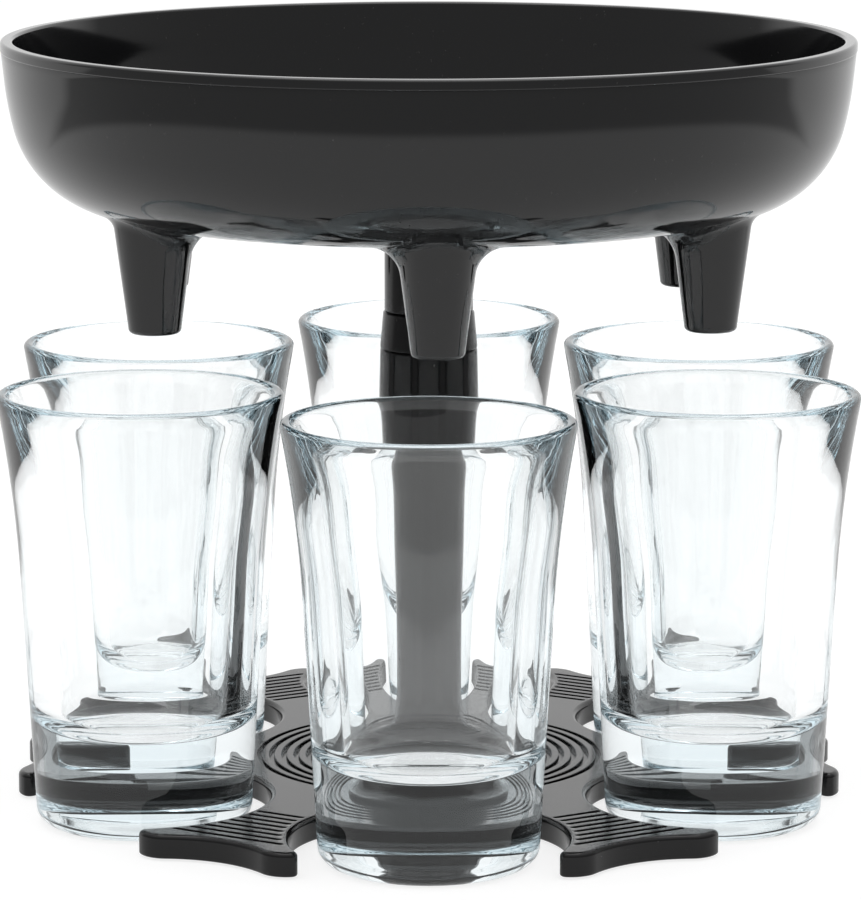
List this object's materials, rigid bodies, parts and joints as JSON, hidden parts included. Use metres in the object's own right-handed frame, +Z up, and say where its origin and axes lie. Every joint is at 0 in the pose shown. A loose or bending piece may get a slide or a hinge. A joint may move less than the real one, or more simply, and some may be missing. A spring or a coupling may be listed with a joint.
{
  "type": "party shot dispenser",
  "caption": "Round bowl with downward spouts that turns and lifts off on a centre column, over shot glasses held in the bays of a grooved star-shaped base.",
  "frame": {"origin": "on the column's axis at table level, at the centre of the footprint", "axes": "+Z up along the column; -Y towards the glass that stands at the front; +X to the right seen from the front"},
  "size_m": [0.1462, 0.1596, 0.1302],
  "materials": {
    "bowl_plastic": "glossy charcoal moulded plastic",
    "stand_plastic": "glossy near-black moulded plastic",
    "base_plastic": "satin-gloss near-black moulded plastic",
    "steel": "plain machined",
    "rubber": "matt",
    "clear_glass": "clear, polished"
  },
  "bodies": {
    "base": {"base_plate": "base_plastic", "column": "stand_plastic", "base_screws": "steel", "foot_pad_1": "rubber", "foot_pad_2": "rubber", "foot_pad_3": "rubber", "foot_pad_4": "rubber", "foot_pad_5": "rubber", "foot_pad_6": "rubber"},
    "collar": {"neck_collar": "stand_plastic"},
    "bowl_unit": {"bowl": "bowl_plastic", "centre_cap": "bowl_plastic", "stem": "stand_plastic", "stem_screw": "steel", "seal_washer": "rubber"},
    "glass_1": {"glass_1": "clear_glass"},
    "glass_2": {"glass_2": "clear_glass"},
    "glass_3": {"glass_3": "clear_glass"},
    "glass_4": {"glass_4": "clear_glass"},
    "glass_5": {"glass_5": "clear_glass"},
    "glass_6": {"glass_6": "clear_glass"}
  },
  "joints": [
    {"name": "bowl_turn", "type": "hinge", "parent": "base", "child": "collar", "pos_m": [0, 0, 0.0765], "axis": [0, 0, 1], "continuous": true},
    {"name": "bowl_lift", "type": "slide", "parent": "collar", "child": "bowl_unit", "axis": [0, 0, 1], "range_m": [0, 0.06]},
    {"name": "glass_1_pull", "type": "slide", "parent": "base", "child": "glass_1", "axis": [0, -1, 0], "range_m": [0, 0.06]},
    {"name": "glass_2_pull", "type": "slide", "parent": "base", "child": "glass_2", "axis": [0.866, -0.5, 0], "range_m": [0, 0.06]},
    {"name": "glass_3_pull", "type": "slide", "parent": "base", "child": "glass_3", "axis": [0.866, 0.5, 0], "range_m": [0, 0.06]},
    {"name": "glass_4_pull", "type": "slide", "parent": "base", "child": "glass_4", "axis": [0, 1, 0], "range_m": [0, 0.06]},
    {"name": "glass_5_pull", "type": "slide", "parent": "base", "child": "glass_5", "axis": [-0.866, 0.5, 0], "range_m": [0, 0.06]},
    {"name": "glass_6_pull", "type": "slide", "parent": "base", "child": "glass_6", "axis": [-0.866, -0.5, 0], "range_m": [0, 0.06]}
  ]
}
